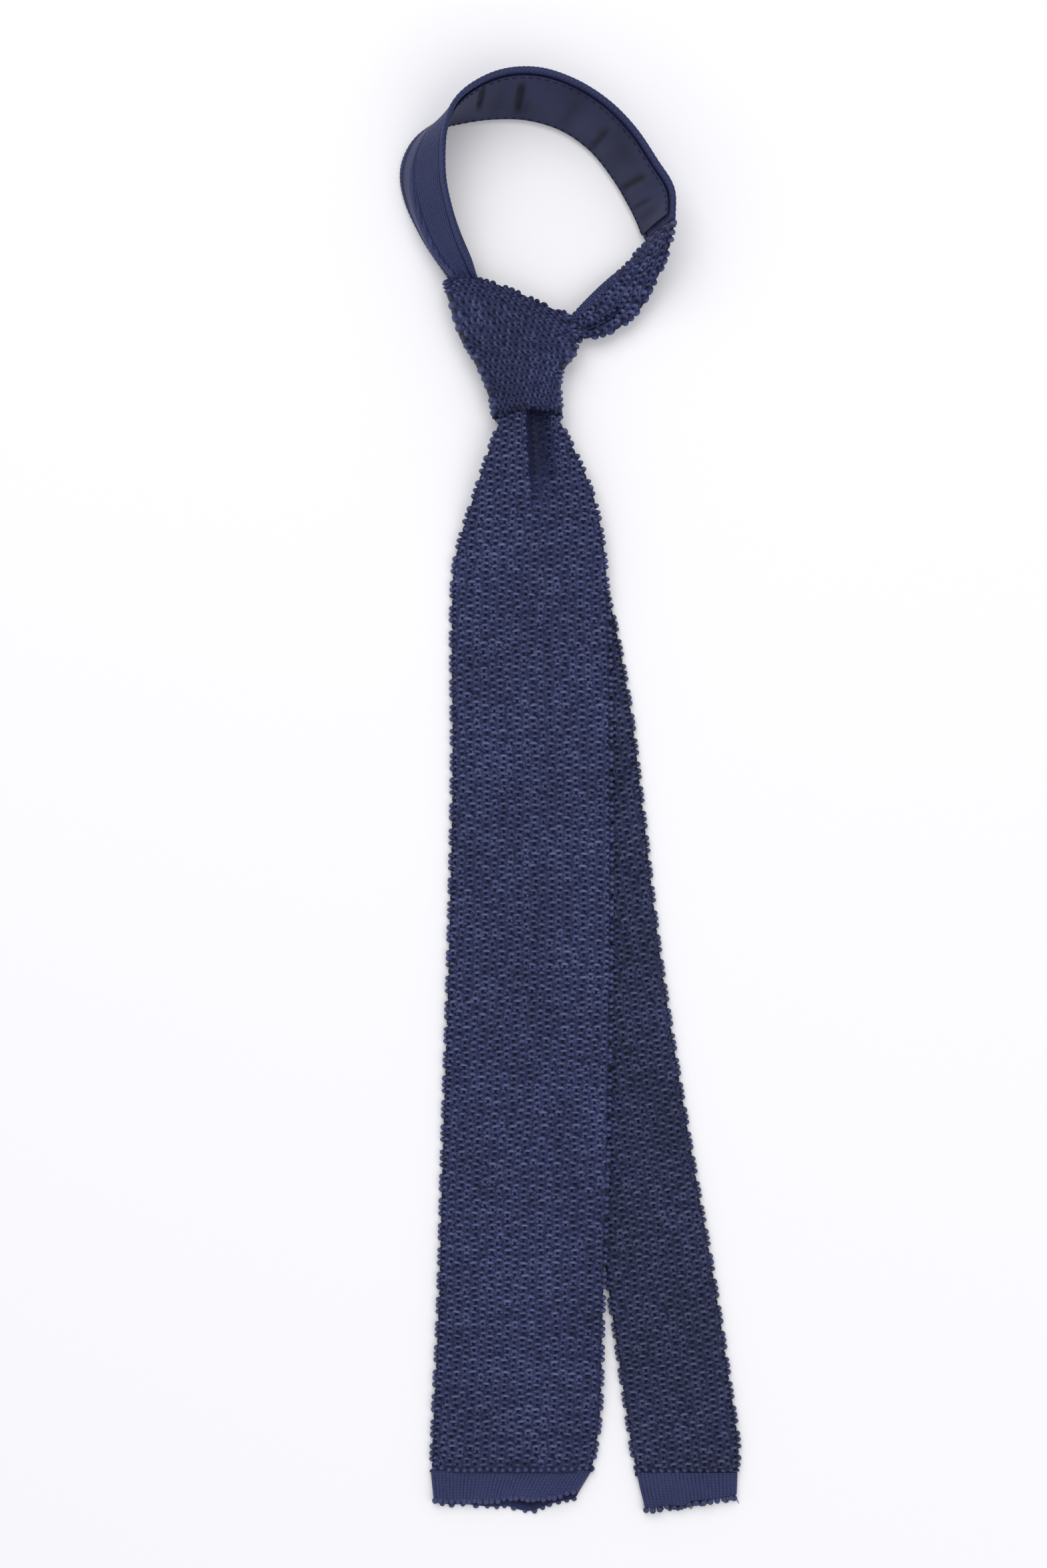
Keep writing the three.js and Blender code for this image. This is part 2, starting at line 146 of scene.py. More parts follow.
def ease(x, low, high):
    """0 below low and 1 above high, with a smooth step between them."""
    t = np.clip((x - low) / (high - low), 0, 1)
    return t * t * (3 - 2 * t)


def lerp(a, b, t):
    return a + (b - a) * t


def curve(points, at):
    """Points at shares of a centripetal Catmull-Rom curve."""
    p = np.array(points, float)
    p = np.vstack([2 * p[0] - p[1], p, 2 * p[-1] - p[-2]])
    place = np.clip(np.asarray(at, float), 0, 1) * (len(points) - 1)
    i = np.minimum(place.astype(int), len(points) - 2)
    w = (place - i)[..., None]  # the share of the way from one point to the next
    p0, p1, p2, p3 = p[i], p[i + 1], p[i + 2], p[i + 3]
    gap = lambda a, b: np.sqrt(np.linalg.norm(b - a, axis=-1, keepdims=True))
    d0, d1, d2 = gap(p0, p1), gap(p1, p2), gap(p2, p3)
    m1 = ((p1 - p0) / d0 - (p2 - p0) / (d0 + d1) + (p2 - p1) / d1) * d1
    m2 = ((p2 - p1) / d1 - (p3 - p1) / (d1 + d2) + (p3 - p2) / d2) * d1
    a = 2 * p1 - 2 * p2 + m1 + m2
    b = -3 * p1 + 3 * p2 - 2 * m1 - m2
    return ((a * w + b) * w + m1) * w + p1


def rand(a, b, seed=0):
    """The same number from 0 to 1 each time for whole numbers a and b."""
    x = np.sin(a * 12.9898 + b * 78.233 + seed * 37.719) * 43758.5453
    return x - np.floor(x)


def waves(x, y, seed, low, high):
    """A smooth uneven field, about -1 to 1, with waves between two lengths."""
    rng = np.random.default_rng(seed)
    total = 0
    for _ in range(WAVE_COUNT):
        length = rng.uniform(low, high)
        angle = rng.uniform(0, pi)
        phase = rng.uniform(0, 2 * pi)
        along = x * cos(angle) + y * sin(angle)
        total = total + np.sin(2 * pi * along / length + phase)
    return total / sqrt(WAVE_COUNT * 2)


def unit(v):
    return v / np.maximum(np.linalg.norm(v, axis=-1, keepdims=True), 1e-9)


# -------- knit patterns
def dome(x, y, half_x, half_y, power=2.0):
    """A rounded bump: 1 at its middle and 0 from its rim outwards."""
    inside = 1 - np.abs(x / half_x) ** power - np.abs(y / half_y) ** power
    return np.maximum(inside, 0) ** 0.72


# Kinds of crunch stitch: half width, half height, bow, drop, power, height
BAR = (0.64, 0.32, 0.22, 0.0, 2.4, 1.0)
ARCH = (0.56, 0.36, -0.5, 0.05, 2.2, 0.9)
HEAD = (0.47, 0.42, 0.0, 0.0, 2.4, 0.92)
LOW_BAR = (0.56, 0.36, 0.3, 0.0, 2.2, 0.95)
ROW_SHIFTS = np.array([0.0, -0.04, -0.23, -0.16])  # of four rows, in columns
BAR_LEVEL, HEAD_LEVEL = 0.25, 0.72  # of the stitches' middles within a row
PLY_TURNS = 3  # of the yarn's plies, wound across a stitch


def stitch_bump(x, y, size, kind):
    """One stitch, of a kind from the table above."""
    half_x, half_y, bow, drop, power, height = kind
    return dome(x, y - drop - bow * x * x, half_x * size, half_y * size, power) * height


def dent(x, y, half_x, half_y):
    """A soft round hollow, 1 at its middle."""
    return np.exp(-((x / half_x) ** 2) - (y / half_y) ** 2)


def crunch(rows, cols, seed, uneven, bars):
    """Height, 0 to 1, of crunch-knit silk, for places counted in rows and columns.
    Columns of wide bars and arches alternate with columns of loop heads and low bars
    half a row lower, with small beads, links and dark pits between the stitches.
    Where it is stretched round a knot there are no bars, only round heads."""
    height = pits = 0
    first = np.floor(rows)
    for dr in (-1, 0, 1):
        row = first + dr
        kind = np.mod(row, 4).astype(int)
        shift = ROW_SHIFTS[kind]
        level = kind % 2 == 0
        col0 = np.floor(cols - shift)
        for dc in (-1, 0, 1):
            col = col0 + dc
            jitter = lambda k: uneven * (rand(row, col, seed + k) - 0.5)
            barred = np.mod(col, 2) == 0
            x = cols - shift - col - 0.5 + 0.2 * jitter(1)
            y = rows - row - np.where(barred, BAR_LEVEL, HEAD_LEVEL) + 0.16 * jitter(2)
            y = y + 0.35 * jitter(7) * x
            size = 1 + 0.2 * jitter(3)
            tall = 0.9 + 0.3 * jitter(4)
            head = stitch_bump(x, y, size, HEAD) - 0.4 * dent(x, y - 0.1, 0.13, 0.14)
            cell = head
            if bars:
                bar = stitch_bump(x, y, size, BAR)
                arch = stitch_bump(x, y, size, ARCH) - 0.3 * dent(x + 0.06, y - 0.12, 0.12, 0.14)
                low = stitch_bump(x, y, size, LOW_BAR)
                cell = np.where(level, np.where(barred, bar, head), np.where(barred, arch, low))
            twin = np.abs(x + 0.1 * jitter(10)) - 0.27
            beads = dome(twin, y - 0.47, 0.25, 0.26) * (0.72 + 0.4 * jitter(11))
            link = np.abs(x) - 0.5
            links = dome(link, y - 0.24 - 0.1 * jitter(12), 0.17, 0.34)
            links = links * (0.6 + 0.4 * jitter(12))
            cell = np.maximum(np.maximum(cell, beads), links)
            wound = PLY_TURNS * x + 2 * y * np.sign(jitter(8))
            ply = np.cos(2 * pi * wound + 9 * jitter(9))
            height = np.maximum(height, cell * tall * (0.93 + 0.07 * ply))
            hole = dent(x - 0.04, y - 0.44, 0.24, 0.15)
            depth = np.where(barred, 1.0, 0.7) * (1.0 + 0.8 * jitter(13))
            pits = np.maximum(pits, hole * depth)
    # Low values are sunk and also painted as shade by the yarn material: the dark pits are
    # painted shade.
    return np.clip(0.13 + 0.87 * height - 0.85 * pits * (1.1 - height), 0, 1)


def jersey(x, y, wale, course, slant=0.55):
    """Height, 0 to 1, of plain knit: columns of V-shaped stitches."""
    place = x / wale
    a = np.abs(place - np.floor(place) - 0.5) * 2
    wave = y / course - slant * a
    leg = 0.5 + 0.5 * np.cos(2 * pi * wave)
    body = np.sqrt(np.maximum(1 - ((a - 0.4) / 0.61) ** 2, 0))
    return body * (0.68 + 0.32 * leg ** 0.7)


def dotted(x, y, wale, course):
    """Height, 0 to 1, of fine knit whose stitches leave small staggered holes."""
    place = x / wale
    column = np.floor(place)
    a = (place - column - 0.5) * 2
    b = np.mod(y / course + 0.5 * np.mod(column, 2), 1.0) * 2 - 1
    return 1 - np.exp(-(a / 0.5) ** 2 - (b / 0.55) ** 2)


BEAD_REACH = 1.6  # of an edge bead across the knit, in millimetres,
BEAD_HALF = 0.52  # and its half length along the edge, in rows


def edge_beads(rows, distance, seed):
    """Height, 0 to 1, of the rounded bead that each row ends in at a folded edge."""
    row = np.floor(rows)
    height = 0
    for dr in (-1, 0, 1):
        at = row + dr
        size = 0.93 + 0.34 * (rand(at, 5, seed) - 0.5)
        tall = np.where(np.mod(at, 4) == 3, 0.35, 1.0)
        y = rows - at - 0.5 + 0.14 * (rand(at, 9, seed) - 0.5)
        bead = tall * dome(distance, y, BEAD_REACH * size, BEAD_HALF * size) ** 0.7
        height = np.maximum(height, bead)
    return height


# -------- mesh making
def make_mesh(name, points, quads, tris, stitch):
    """A smooth mesh object from points in millimetres. Its materials read a value at each
    point, mostly the height of the stitch, and paint shade where it is low."""
    mesh = bpy.data.meshes.new(name)
    mesh.vertices.add(len(points))
    mesh.vertices.foreach_set("co", (np.asarray(points, np.float32) * MM).ravel())
    loops = np.concatenate([quads.ravel(), tris.ravel()]).astype(np.int32)
    mesh.loops.add(len(loops))
    mesh.loops.foreach_set("vertex_index", loops)
    starts = np.concatenate([
        np.arange(len(quads)) * 4,
        len(quads) * 4 + np.arange(len(tris)) * 3,
    ]).astype(np.int32)
    mesh.polygons.add(len(starts))
    mesh.polygons.foreach_set("loop_start", starts)
    mesh.update(calc_edges=True)
    mesh.validate()
    mesh.shade_smooth()
    attribute = mesh.attributes.new("stitch", "FLOAT", "POINT")
    attribute.data.foreach_set("value", stitch.astype(np.float32).ravel())
    piece = bpy.data.objects.new(name, mesh)
    bpy.context.scene.collection.objects.link(piece)
    return piece


def end_cover(ring):
    """Triangles over the end of a flattened tube: a zip from its first point, at one
    fold, to the point farthest from it, at the other fold."""
    count = len(ring)
    tops = int(np.argmax(np.linalg.norm(ring - ring[0], axis=1)))
    lows = count - tops
    top, low = 0, 0
    tris = []
    while top < tops or low < lows - 1:
        if low >= lows - 1 or (top < tops and top / tops <= low / lows):
            tris.append([top, top + 1, (count - low) % count])
            top += 1
        else:
            tris.append([count - low - 1, (count - low) % count, top])
            low += 1
    return np.array([t for t in tris if len(set(t)) == 3])


def tube_quads(rows, cols):
    """Quads between neighbouring rings of a tube whose points are counted row by row."""
    i = np.arange(rows - 1)[:, None] * cols
    j = np.arange(cols)
    k = (j + 1) % cols
    return np.stack([i + j, i + cols + j, i + cols + k, i + k], -1).reshape(-1, 4)


def closed_tube(name, rings, stitch):
    """A tube from rings of points, with its ends covered."""
    rows, cols = rings.shape[:2]
    first = end_cover(rings[0])
    last = end_cover(rings[-1])[:, ::-1] + (rows - 1) * cols
    return make_mesh(name, rings.reshape(-1, 3), tube_quads(rows, cols),
                     np.concatenate([first, last]), stitch)


def section(width, thickness, fine, coarse):
    """How a flattened tube's section is sampled, one row for each width: the
    distance across, and the lift from -1 at its underside to 1 on top."""
    radius = thickness / 2
    angle = np.linspace(0, pi / 2, FOLD_POINTS)
    edge = radius * (1 - np.cos(angle))
    layers = []
    for step in (fine, coarse):
        count = max(int(round((width.max() - 2 * radius) / step)), 2)
        inner = radius + (width[:, None] - 2 * radius) * np.linspace(0, 1, count + 1)[1:-1]
        left = np.broadcast_to(edge, (len(width), len(edge)))
        right = width[:, None] - edge[None, ::-1]
        lift = np.concatenate([np.sin(angle), np.ones(count - 1), np.sin(angle)[::-1]])
        layers.append((np.concatenate([left, inner, right], 1), lift))
    (top, top_lift), (low, low_lift) = layers
    across = np.concatenate([top, low[:, -2:0:-1]], 1)
    lift = np.concatenate([top_lift, -low_lift[-2:0:-1]])
    return across, np.broadcast_to(lift, across.shape)


def out_of(rings):
    """Unit normals of a grid whose rows close into rings, pointing out."""
    along = np.gradient(rings, axis=0)
    around = np.roll(rings, -1, 1) - np.roll(rings, 1, 1)
    return unit(np.cross(along, around))


def facing(middle, u, s):
    """Unit normals of a surface middle(u, s)."""
    e = 1e-3
    along = middle(np.clip(u + e, 0, 1), s) - middle(np.clip(u - e, 0, 1), s)
    across = middle(u, np.clip(s + e, 0, 1)) - middle(u, np.clip(s - e, 0, 1))
    return unit(np.cross(along, across))


def strip(edge_a, edge_b, bulge=None):
    """The middle surface between two edges, raised along its normal by a bulge."""
    def flat(u, s):
        return lerp(curve(edge_a, u), curve(edge_b, u), s[..., None])

    def raised(u, s):
        return flat(u, s) + facing(flat, u, s) * bulge(u, s)[..., None]
    return raised if bulge else flat


class Fabric:
    """Where the points of a ribbon lie: shares u along and s across it, its width,
    distances along and across in millimetres, the lift, and the points."""

    def __init__(self, middle, rings, span, thickness, fine, coarse):
        self.u = np.linspace(*span, rings)[:, None]
        probe = middle(self.u, np.linspace(0, 1, 25)[None, :])
        self.width = np.linalg.norm(np.diff(probe, axis=1), axis=-1).sum(1)
        steps = np.linalg.norm(np.diff(probe[:, 12], axis=0), axis=-1)
        self.along = np.concatenate([[0], np.cumsum(steps)])[:, None]
        self.across, self.lift = section(self.width, thickness, fine, coarse)
        self.s = self.across / self.width[:, None]
        self.edge = np.minimum(self.across, self.width[:, None] - self.across)
        self.normal = facing(middle, self.u, self.s)
        half = (thickness / 2 * self.lift)[..., None]
        self.points = middle(self.u, self.s) + self.normal * half

    def xy(self):
        return self.points[..., 0], self.points[..., 1]


def ribbon(name, middle, rings, thickness, pattern, fine, coarse=0.85, shape=None,
           span=(0, 1)):
    """A flattened tube of fabric round a middle surface, of so many rings of points,
    with a fine step between them on top and a coarse one below. pattern gives the
    height of its stitches, 0 to 1, and how far each point moves out."""
    fabric = Fabric(middle, rings, span, thickness, fine, coarse)
    if shape:
        shape(fabric)
    stitch, push = pattern(fabric)
    rings = fabric.points + out_of(fabric.points) * push[..., None]
    rings[..., 2] = np.maximum(rings[..., 2], LOWEST)
    return closed_tube(name, rings, stitch)


def crunch_pattern(seed, wales, pitch=COURSE, relief=RELIEF, weaken=None, last_row=None,
                   bead=0.6, uneven=1.0, shade=0.8, inset=0.0, bars=True):
    """Crunch knit for a ribbon. wales is its columns across, or a function that gives
    them; bead and inset are how far its edge stands out at beads and in between."""
    def pattern(fabric):
        x, y = fabric.xy()
        rows = fabric.along / pitch + 0.22 * waves(x, y, seed, 40, 160)
        count = wales(fabric) if callable(wales) else wales
        cols = (fabric.s - 0.5) * count + 50 + 0.3 * waves(x, y, seed + 1, 60, 200)
        stitch = crunch(rows, cols, seed, uneven, bars)
        near = 1 - ease(fabric.edge, 0.3, 1.7)
        side = np.where(fabric.s < 0.5, 0, 40)
        beads = edge_beads(rows + np.where(side > 0, 0.5, 0.0), fabric.edge, seed + side)
        # Between the beads of a folded edge the value drops, which sinks the knit there and
        # paints shade; shade caps how light the beads are painted.
        stitch = np.maximum(stitch * (1 - near), shade * beads)
        if last_row:
            stitch = last_row(fabric, stitch)
        depth = relief * (weaken(fabric) if weaken else 1.0)
        push = -depth * (1 - stitch) * (1 - 0.3 * near) + (bead * beads - inset) * near
        return stitch, push
    return pattern


RIM_WALE, RIM_COURSE = 2.6, 1.8  # of the chain of stitches along the band's rims


def jersey_pattern(seed, wale, course, relief, rim=0.0):
    """Fine knit for a ribbon. rim is how far a chain of stitches along its edges is
    raised, with a groove beside it that is sunk and painted in shade."""
    def pattern(fabric):
        bend = 0.3 * wale * waves(*fabric.xy(), seed, 20, 70)
        stitch = dotted(fabric.across + bend, fabric.along, wale, course)
        plain = np.abs(fabric.s - 0.74) < 0.09
        stitch = np.where(plain, 0.75 + 0.25 * stitch, stitch)
        push = -relief * (1 - stitch)
        if rim:
            chain = jersey(fabric.edge + 0.1, fabric.along, RIM_WALE, RIM_COURSE, 0.6)
            close = 1 - ease(fabric.edge, RIM_WALE - 0.4, RIM_WALE)
            groove = np.exp(-((fabric.edge - RIM_WALE - 0.3) / 0.25) ** 2)
            # The groove beside the chain is sunk a little and painted in shade.
            stitch = lerp(stitch, 0.1 + 0.9 * chain, close) * (1 - 0.8 * groove)
            push = lerp(push, rim * (chain - 0.3), close) - 0.3 * groove
        return stitch, push
    return pattern


WOUND_GROOVE = 0.12  # between the turns of yarn on a ball, as a share of its radius


def balls(name, places, sizes, seed):
    """Small balls of wound yarn, one mesh: places and sizes are rows of x, y, z."""
    turns, levels = 16, 9
    theta = np.linspace(0, 2 * pi, turns, endpoint=False)
    phi = np.linspace(0, pi, levels + 1)[1:-1]
    t, p = np.meshgrid(theta, phi)
    rng = np.random.default_rng(seed)
    rows = len(phi)
    j = np.arange(turns)
    k = (j + 1) % turns
    last = (rows - 1) * turns
    top, low = np.full(turns, rows * turns), np.full(turns, rows * turns + 1)
    caps = np.vstack([np.stack([top, j, k], -1), np.stack([low, last + k, last + j], -1)])
    points, quads, tris, stitch = [], [], [], []
    for number, (place, size) in enumerate(zip(places, sizes)):
        start = number * (rows * turns + 2)
        twist = rng.uniform(0, 6.28)
        tilt = rng.uniform(-0.5, 0.5)
        wound = 1 - WOUND_GROOVE * (0.5 + 0.5 * np.cos(5 * p + 2 * t + twist))
        ball = np.stack([np.sin(p) * np.cos(t), np.sin(p) * np.sin(t), np.cos(p)], -1)
        x, y, z = np.moveaxis(ball * wound[..., None], -1, 0)
        ball = np.stack([x * cos(tilt) - y * sin(tilt),
                         x * sin(tilt) + y * cos(tilt), z], -1)
        ring = np.array(place) + ball.reshape(-1, 3) * np.array(size)
        poles = np.array(place) + np.outer([1, -1], [0, 0, size[2]])
        points.append(np.vstack([ring, poles]))
        # The grooves between the turns get low values: sunk and painted in shade.
        stitch.append(np.concatenate([0.12 + 0.6 * wound.ravel() ** 3, [0.7, 0.7]]))
        quads.append(start + tube_quads(rows, turns))
        tris.append(start + caps)
    return make_mesh(name, np.vstack(points), np.vstack(quads), np.vstack(tris),
                     np.concatenate(stitch))


def strands(name, paths, radius, sides=8):
    """Short round lengths of thread, one mesh, each along a list of points."""
    points, quads, tris = [], [], []
    start = 0
    angle = np.linspace(0, 2 * pi, sides, endpoint=False)
    cosines, sines = np.cos(angle)[:, None], np.sin(angle)[:, None]
    for path in paths:
        path = np.array(path, float)
        ahead = unit(np.gradient(path, axis=0))
        side = unit(np.cross(ahead, [0.13, 0.21, 0.97]))
        other = np.cross(ahead, side)
        taper = np.ones(len(path))
        taper[[0, -1]] = 0.45
        spoke = cosines * side[:, None] + sines * other[:, None]
        ring = path[:, None] + radius * taper[:, None, None] * spoke
        rows = len(path)
        points.append(np.vstack([ring.reshape(-1, 3), path[0], path[-1]]))
        j = np.arange(sides)
        k = (j + 1) % sides
        quads.append(start + tube_quads(rows, sides)[:, ::-1])
        first, last = np.full(sides, rows * sides), np.full(sides, rows * sides + 1)
        base = (rows - 1) * sides
        tris.append(start + np.stack([k, j, first], -1))
        tris.append(start + np.stack([base + j, base + k, last], -1))
        start += rows * sides + 2
    points = np.vstack(points)
    return make_mesh(name, points, np.vstack(quads), np.vstack(tris),
                     np.full(len(points), 0.8))


# -------- materials
def material(name, build):
    """A material from a function that wires its nodes to the surface shader."""
    made = bpy.data.materials.new(name)
    made.use_nodes = True
    tree = made.node_tree
    shader = tree.nodes["Principled BSDF"]
    build(tree, shader)
    return made


def node(tree, kind, inputs=None, **settings):
    made = tree.nodes.new(kind)
    for key, value in settings.items():
        setattr(made, key, value)
    for key, value in (inputs or {}).items():
        if isinstance(value, bpy.types.NodeSocket):
            tree.links.new(value, made.inputs[key])
        else:
            made.inputs[key].default_value = value
    return made


def ramp(tree, source, stops):
    made = node(tree, "ShaderNodeValToRGB", {"Fac": source})
    elements = made.color_ramp.elements
    for element, (place, color) in zip(elements, (stops[0], stops[-1])):
        element.position = place
        element.color = (*color, 1)
    for place, color in stops[1:-1]:
        elements.new(place).color = (*color, 1)
    return made.outputs["Color"]


def noise(tree, place, scale, detail):
    made = node(tree, "ShaderNodeTexNoise", {"Vector": place, "Scale": scale, "Detail": detail})
    return made.outputs["Fac"]


def paint(tree, shader, color, scale):
    """Gives the shader a color, made lighter or darker by a scale."""
    tint = node(tree, "ShaderNodeVectorMath", {0: color, "Scale": scale}, operation="SCALE")
    tree.links.new(tint.outputs["Vector"], shader.inputs["Base Color"])


def emboss(tree, shader, height, strength, distance):
    bump = node(tree, "ShaderNodeBump", {
        "Height": height, "Strength": strength, "Distance": distance})
    tree.links.new(bump.outputs["Normal"], shader.inputs["Normal"])


def yarn(pit_shade, middle, crest_highlight, roughness=0.45, grain=3500.0):
    """Silk yarn: its colour follows the height of the stitch, painted shade in the pits and
    painted highlight on the crests, with uneven dye and the fine twist of the thread."""
    def build(tree, shader):
        place = node(tree, "ShaderNodeTexCoord").outputs["Object"]
        height = node(tree, "ShaderNodeAttribute", attribute_name="stitch").outputs["Fac"]
        color = ramp(tree, height, [(0.0, pit_shade), (0.52, middle), (1.0, crest_highlight)])
        dye = noise(tree, place, 30.0, 3.0)
        fleck = noise(tree, place, 1300.0, 2.0)
        both = node(tree, "ShaderNodeMath", {0: dye, 1: fleck}, operation="ADD")
        shade = node(tree, "ShaderNodeMapRange", {
            "Value": both.outputs["Value"], "From Min": 0.7, "From Max": 1.3,
            "To Min": 0.78, "To Max": 1.22})
        paint(tree, shader, color, shade.outputs["Result"])
        emboss(tree, shader, noise(tree, place, grain, 2.0), 0.9, 0.0003)
        shader.inputs["Roughness"].default_value = roughness
        shader.inputs["Sheen Weight"].default_value = 0.03
        shader.inputs["Sheen Roughness"].default_value = 0.4
        shader.inputs["Specular IOR Level"].default_value = 0.16
    return build


def satin(color):
    """Woven lining or sewing thread: faint lines and a soft sheen, with painted shade in its
    creases.
    """
    def build(tree, shader):
        place = node(tree, "ShaderNodeTexCoord").outputs["Object"]
        lighter = tuple(c * 1.35 for c in color)
        darker = tuple(c * 0.75 for c in color)
        tone = ramp(tree, noise(tree, place, 45.0, 3.0), [(0.3, darker), (0.7, lighter)])
        # The painted shade of the lining's creases, read from the stitch attribute.
        crease_shade = node(tree, "ShaderNodeAttribute", attribute_name="stitch").outputs["Fac"]
        paint(tree, shader, tone, crease_shade)
        lines = node(tree, "ShaderNodeTexWave", {
            "Vector": place, "Scale": 900.0, "Distortion": 1.5, "Detail": 1.0},
            bands_direction="DIAGONAL")
        emboss(tree, shader, lines.outputs["Fac"], 0.15, 0.0001)
        shader.inputs["Roughness"].default_value = 0.5
        shader.inputs["Sheen Weight"].default_value = 0.03
        shader.inputs["Specular IOR Level"].default_value = 0.14
    return build


# Yarn colours: painted shade in the pits, the tone half way up, painted highlight on crests
CRUNCH = material("crunch_silk", yarn(
    (0.001, 0.002, 0.010), (0.0245, 0.0305, 0.092), (0.124, 0.141, 0.290),
    roughness=0.42, grain=2600.0))
# The tail's yarn: the same colours at about four fifths of their brightness, painted shade over
# the whole tail.
SHADED_TAIL_CRUNCH = material("shaded_tail_crunch_silk", yarn(
    (0.001, 0.002, 0.009), (0.0195, 0.0245, 0.071), (0.099, 0.113, 0.217),
    roughness=0.42, grain=2600.0))
JERSEY_SILK = material("jersey_silk", yarn(
    (0.003, 0.0045, 0.020), (0.020, 0.026, 0.085), (0.045, 0.053, 0.140)))
BAND_SILK = material("band_silk", yarn(
    (0.004, 0.006, 0.026), (0.022, 0.027, 0.085), (0.040, 0.048, 0.128)))
LINING = material("lining_satin", satin((0.024, 0.027, 0.069)))
THREAD = material("sewing_thread", satin((0.010, 0.011, 0.032)))


def dress(piece, surface):
    piece.data.materials.append(surface)
    return piece


# -------- the blades
def blade_surface(outline, top, bottom, height, lean=lambda y: 0 * y):
    """The middle surface of a blade from its outline. lean tilts its rows."""
    t = np.linspace(0, 1, 600)
    left_edge = curve([[x, y] for y, x, _ in outline], t)[::-1]
    right_edge = curve([[x, y] for y, _, x in outline], t)[::-1]
    left_at = lambda y: np.interp(y, left_edge[:, 1], left_edge[:, 0])
    right_at = lambda y: np.interp(y, right_edge[:, 1], right_edge[:, 0])

    def middle(u, s):
        start = lerp(top, bottom, u)
        centre = (left_at(start) + right_at(start)) / 2
        y = start + 0 * s
        for _ in range(3):
            x = lerp(left_at(y), right_at(y), s)
            y = start + lean(start) * (x - centre)
        left, right = left_at(y), right_at(y)
        x = lerp(left, right, s)
        return np.stack([x, y, height(x, y, left, right)], -1)
    return middle


def last_bumps(bottom):
    """The row of round bumps where the crunch knit ends above a hem."""
    def add(fabric, stitch):
        up = fabric.points[..., 1] - bottom
        place = fabric.across / LAST_WALE
        number = np.floor(place)
        x = place - number - 0.5
        big = 0.9 + 0.2 * rand(number, 3)
        y = (up - 0.9 - 0.7 * rand(number, 8)) / LAST_WALE
        bump = 0.74 * dome(x, y, 0.46 * big, 0.44 * big)
        # Between the bumps the value is lowered: sunk a little and painted in shade.
        return np.where(up < LAST_ROW, np.maximum(bump, 0.45 * stitch), stitch)
    return add


FRONT_TOP, FRONT_BOTTOM = 153.0, -264.0
TAIL_TOP, TAIL_BOTTOM = 164.0, -264.6
FRONT_WALES, TAIL_WALES = 21.0, 14.0  # columns of stitches across the blades
FRONT_BOW = 1.5  # of the front blade's middle over its edges,
OVER_TAIL = 3.4  # how far the tail raises it,
MOUTH_LIFT = 7.0  # and how far it climbs to the knot's mouth
TAIL_CLIMB, TAIL_HEIGHT = (95, 122), 3.7  # where the tail rises, and how high it runs then
DIMPLE_X, DIMPLE_DEPTH = -16.6, 5.9  # its steep side at the mouth, and its depth
MOUTH_CROWN = 1.7  # of the front blade's middle where it leaves the knot


def front_height(x, y, left, right):
    """The front blade lies bowed on the table and over the tail, and climbs into
    the knot."""
    bow = FRONT_BOW * ease(np.minimum(x - left, right - x), 0, 12)
    tail_left = -14.0 - TAIL_SLOPE * y
    over_tail = OVER_TAIL * ease(x, tail_left - 14, tail_left)
    return KNIT / 2 + lerp(np.hypot(bow, over_tail), MOUTH_LIFT, ease(y, 80, MOUTH_Y))


def dimple(x, y):
    """How far the fold under the knot sinks, 0 to 1: steep on its left side."""
    depth = ease(y, 103, 138)
    fold = DIMPLE_X + 0.05 * (MOUTH_Y - y)
    steep = ease(x, fold - 1.4, fold + 1.4)
    back = 1 - ease(x, fold + 2.2, fold + 12.5)
    return depth * steep * back


def front_shape(fabric):
    """The dimple under the knot, and the slow swell of the knit below it."""
    points, lift = fabric.points, fabric.lift
    x, y = fabric.xy()
    sunk = dimple(x, y)
    mouth = ease(y, 100, 146)
    swell = 0.35 * waves(x, y, 11, 45, 130) * (1 - mouth)
    crown = MOUTH_CROWN * mouth * np.sin(pi * np.clip(fabric.s, 0, 1)) ** 0.7
    points[..., 2] += np.clip(lift, 0, 1) * (swell + crown - DIMPLE_DEPTH * sunk)
    points[..., 2] -= np.clip(-lift, 0, 1) * 2.0 * sunk ** 2


def front_blade():
    surface = blade_surface(FRONT_BLADE, FRONT_TOP, FRONT_BOTTOM, front_height)
    wales = lambda fabric: FRONT_WALES * (fabric.width / fabric.width.max())[:, None] ** 0.82
    sunk = lambda fabric: dimple(*fabric.xy())
    knit = crunch_pattern(3, wales, pitch=2.42, last_row=last_bumps(FRONT_BOTTOM),
                          bead=1.15, inset=0.4,
                          weaken=lambda fabric: 1 - 0.6 * sunk(fabric))

    def pattern(fabric):
        stitch, push = knit(fabric)
        # The value alone, not the knit's height, is lowered in the dimple: painted shade in the
        # fold under the knot.
        return stitch * (1 - 0.55 * sunk(fabric)), push
    piece = ribbon("front_blade_knit", surface, BLADE_RINGS, KNIT, pattern, BLADE_STEP,
                   shape=front_shape)
    dress(piece, CRUNCH)
    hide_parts("front_blade")
    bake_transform(piece)
    return piece


